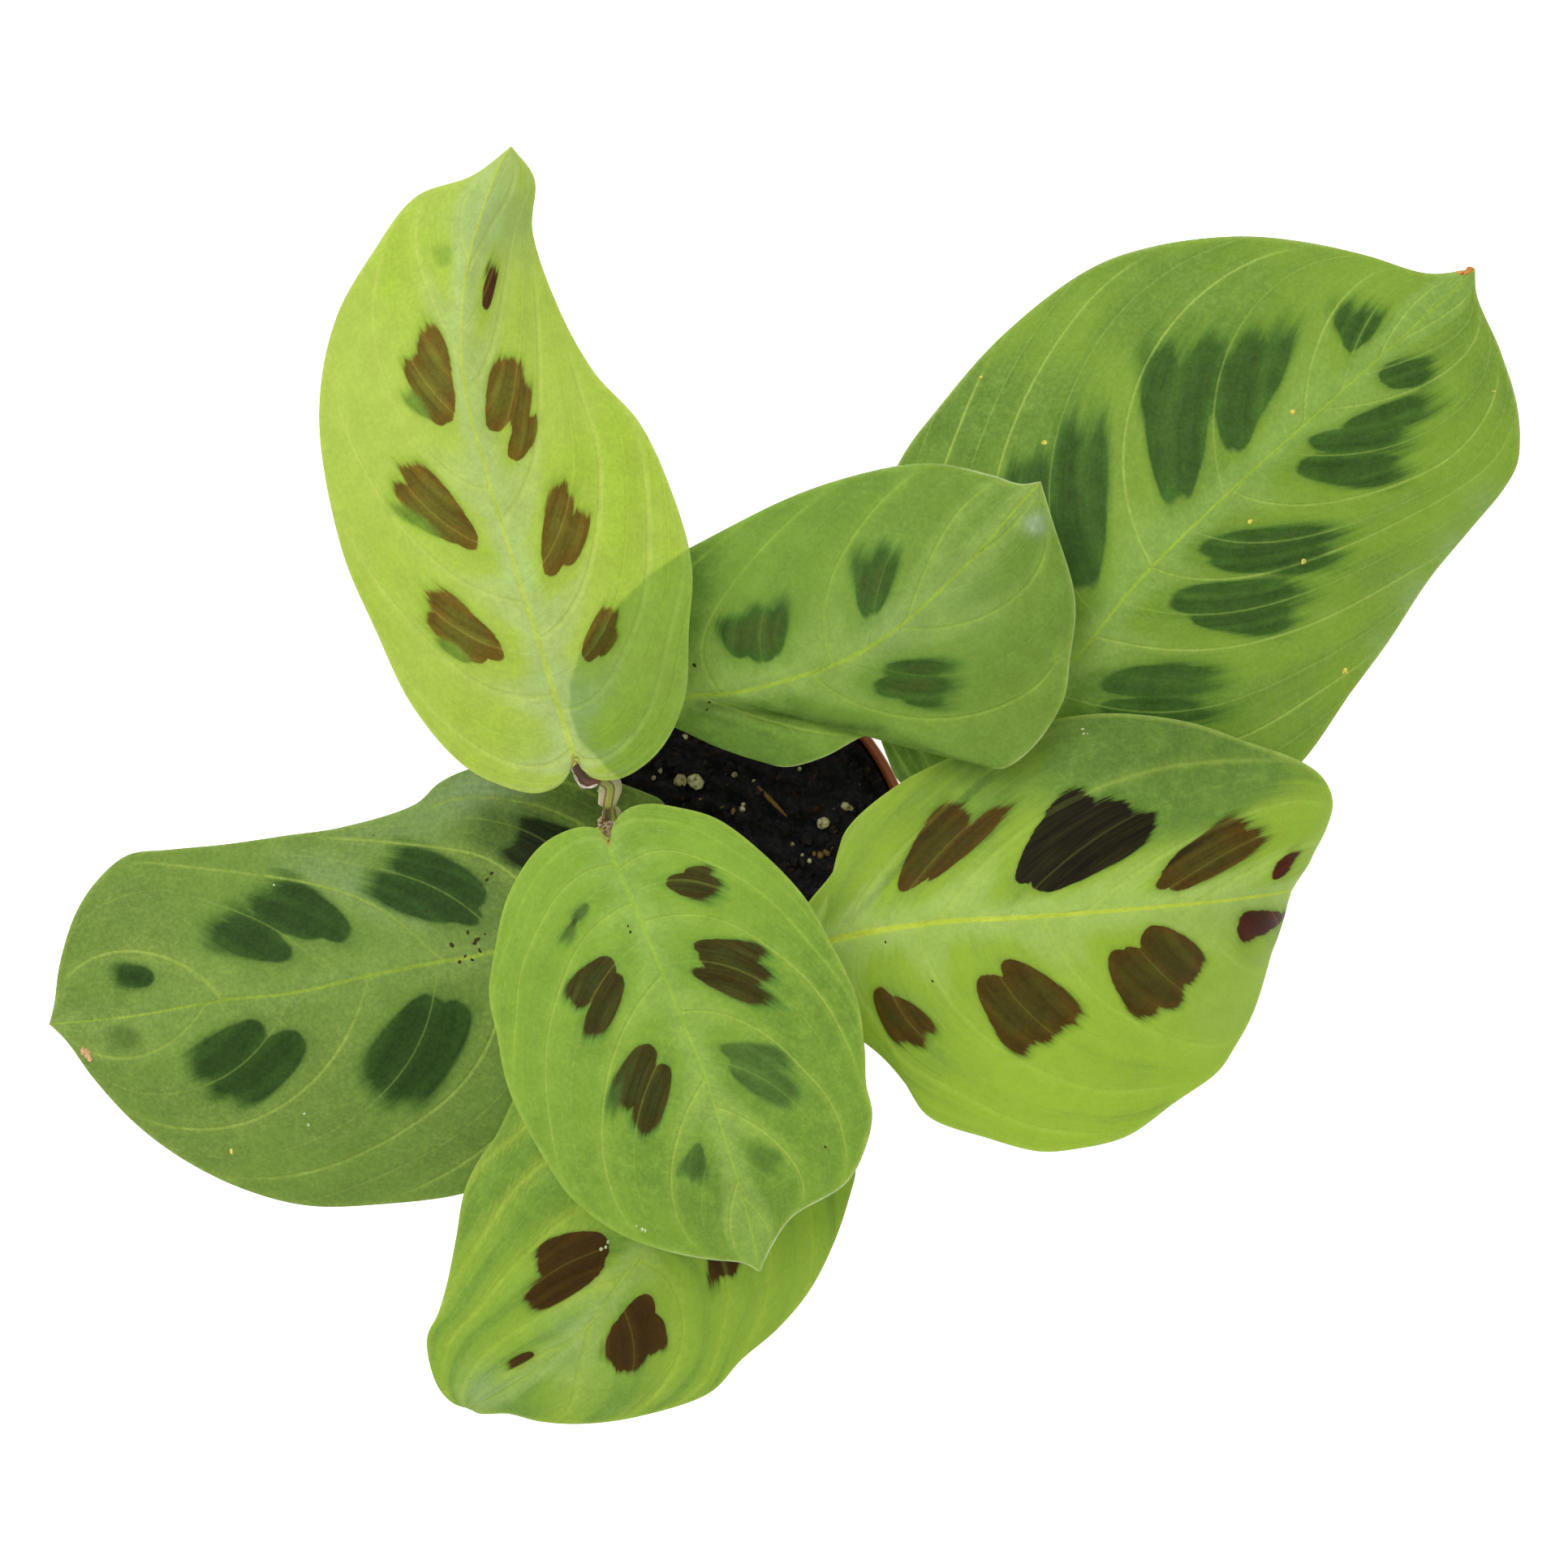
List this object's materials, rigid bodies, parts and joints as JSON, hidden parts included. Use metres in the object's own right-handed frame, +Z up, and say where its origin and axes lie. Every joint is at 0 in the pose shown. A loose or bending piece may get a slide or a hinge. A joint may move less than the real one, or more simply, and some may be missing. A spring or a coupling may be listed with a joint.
{
  "type": "potted prayer plant",
  "caption": "Young potted prayer plant: broad blotched leaves on short stalks above a round tapered nursery pot filled with dark soil.",
  "frame": {"origin": "middle of the pot's underside, on the surface that the pot stands on", "axes": "+Z up; +Y towards the back left and back right leaves, which is up in the picture; +X towards the right leaf"},
  "size_m": [0.3098, 0.26, 0.1614],
  "materials": {
    "pot": "terracotta-coloured moulded plastic, slightly glossy, with fine scratches",
    "soil": "dark moist peat and bark mix with perlite",
    "stem": "beige to reddish brown, finely hairy, jointed",
    "stalk": "pale green with translucent winged sheath and reddish joint",
    "leaf_back_left": "satin living leaf with pale veins and dark blotches between midrib and edge",
    "leaf_back_middle": "satin living leaf with pale veins and dark blotches between midrib and edge",
    "leaf_back_right": "satin living leaf with pale veins and dark blotches between midrib and edge",
    "leaf_right": "satin living leaf with pale veins and dark blotches between midrib and edge",
    "leaf_left": "satin living leaf with pale veins and dark blotches between midrib and edge",
    "leaf_middle": "satin living leaf with pale veins and dark blotches between midrib and edge",
    "leaf_front": "satin living leaf with pale veins and dark blotches between midrib and edge"
  },
  "bodies": {
    "root": {"pot": "pot", "soil": "soil", "stem_west": "stem", "stem_east": "stem", "stalk_back_left": "stalk", "stalk_back_middle": "stalk", "stalk_back_right": "stalk", "stalk_right": "stalk", "stalk_left": "stalk", "stalk_middle": "stalk", "stalk_front": "stalk", "leaf_back_left": "leaf_back_left", "leaf_back_middle": "leaf_back_middle", "leaf_back_right": "leaf_back_right", "leaf_right": "leaf_right", "leaf_left": "leaf_left", "leaf_middle": "leaf_middle", "leaf_front": "leaf_front"}
  },
  "joints": []
}
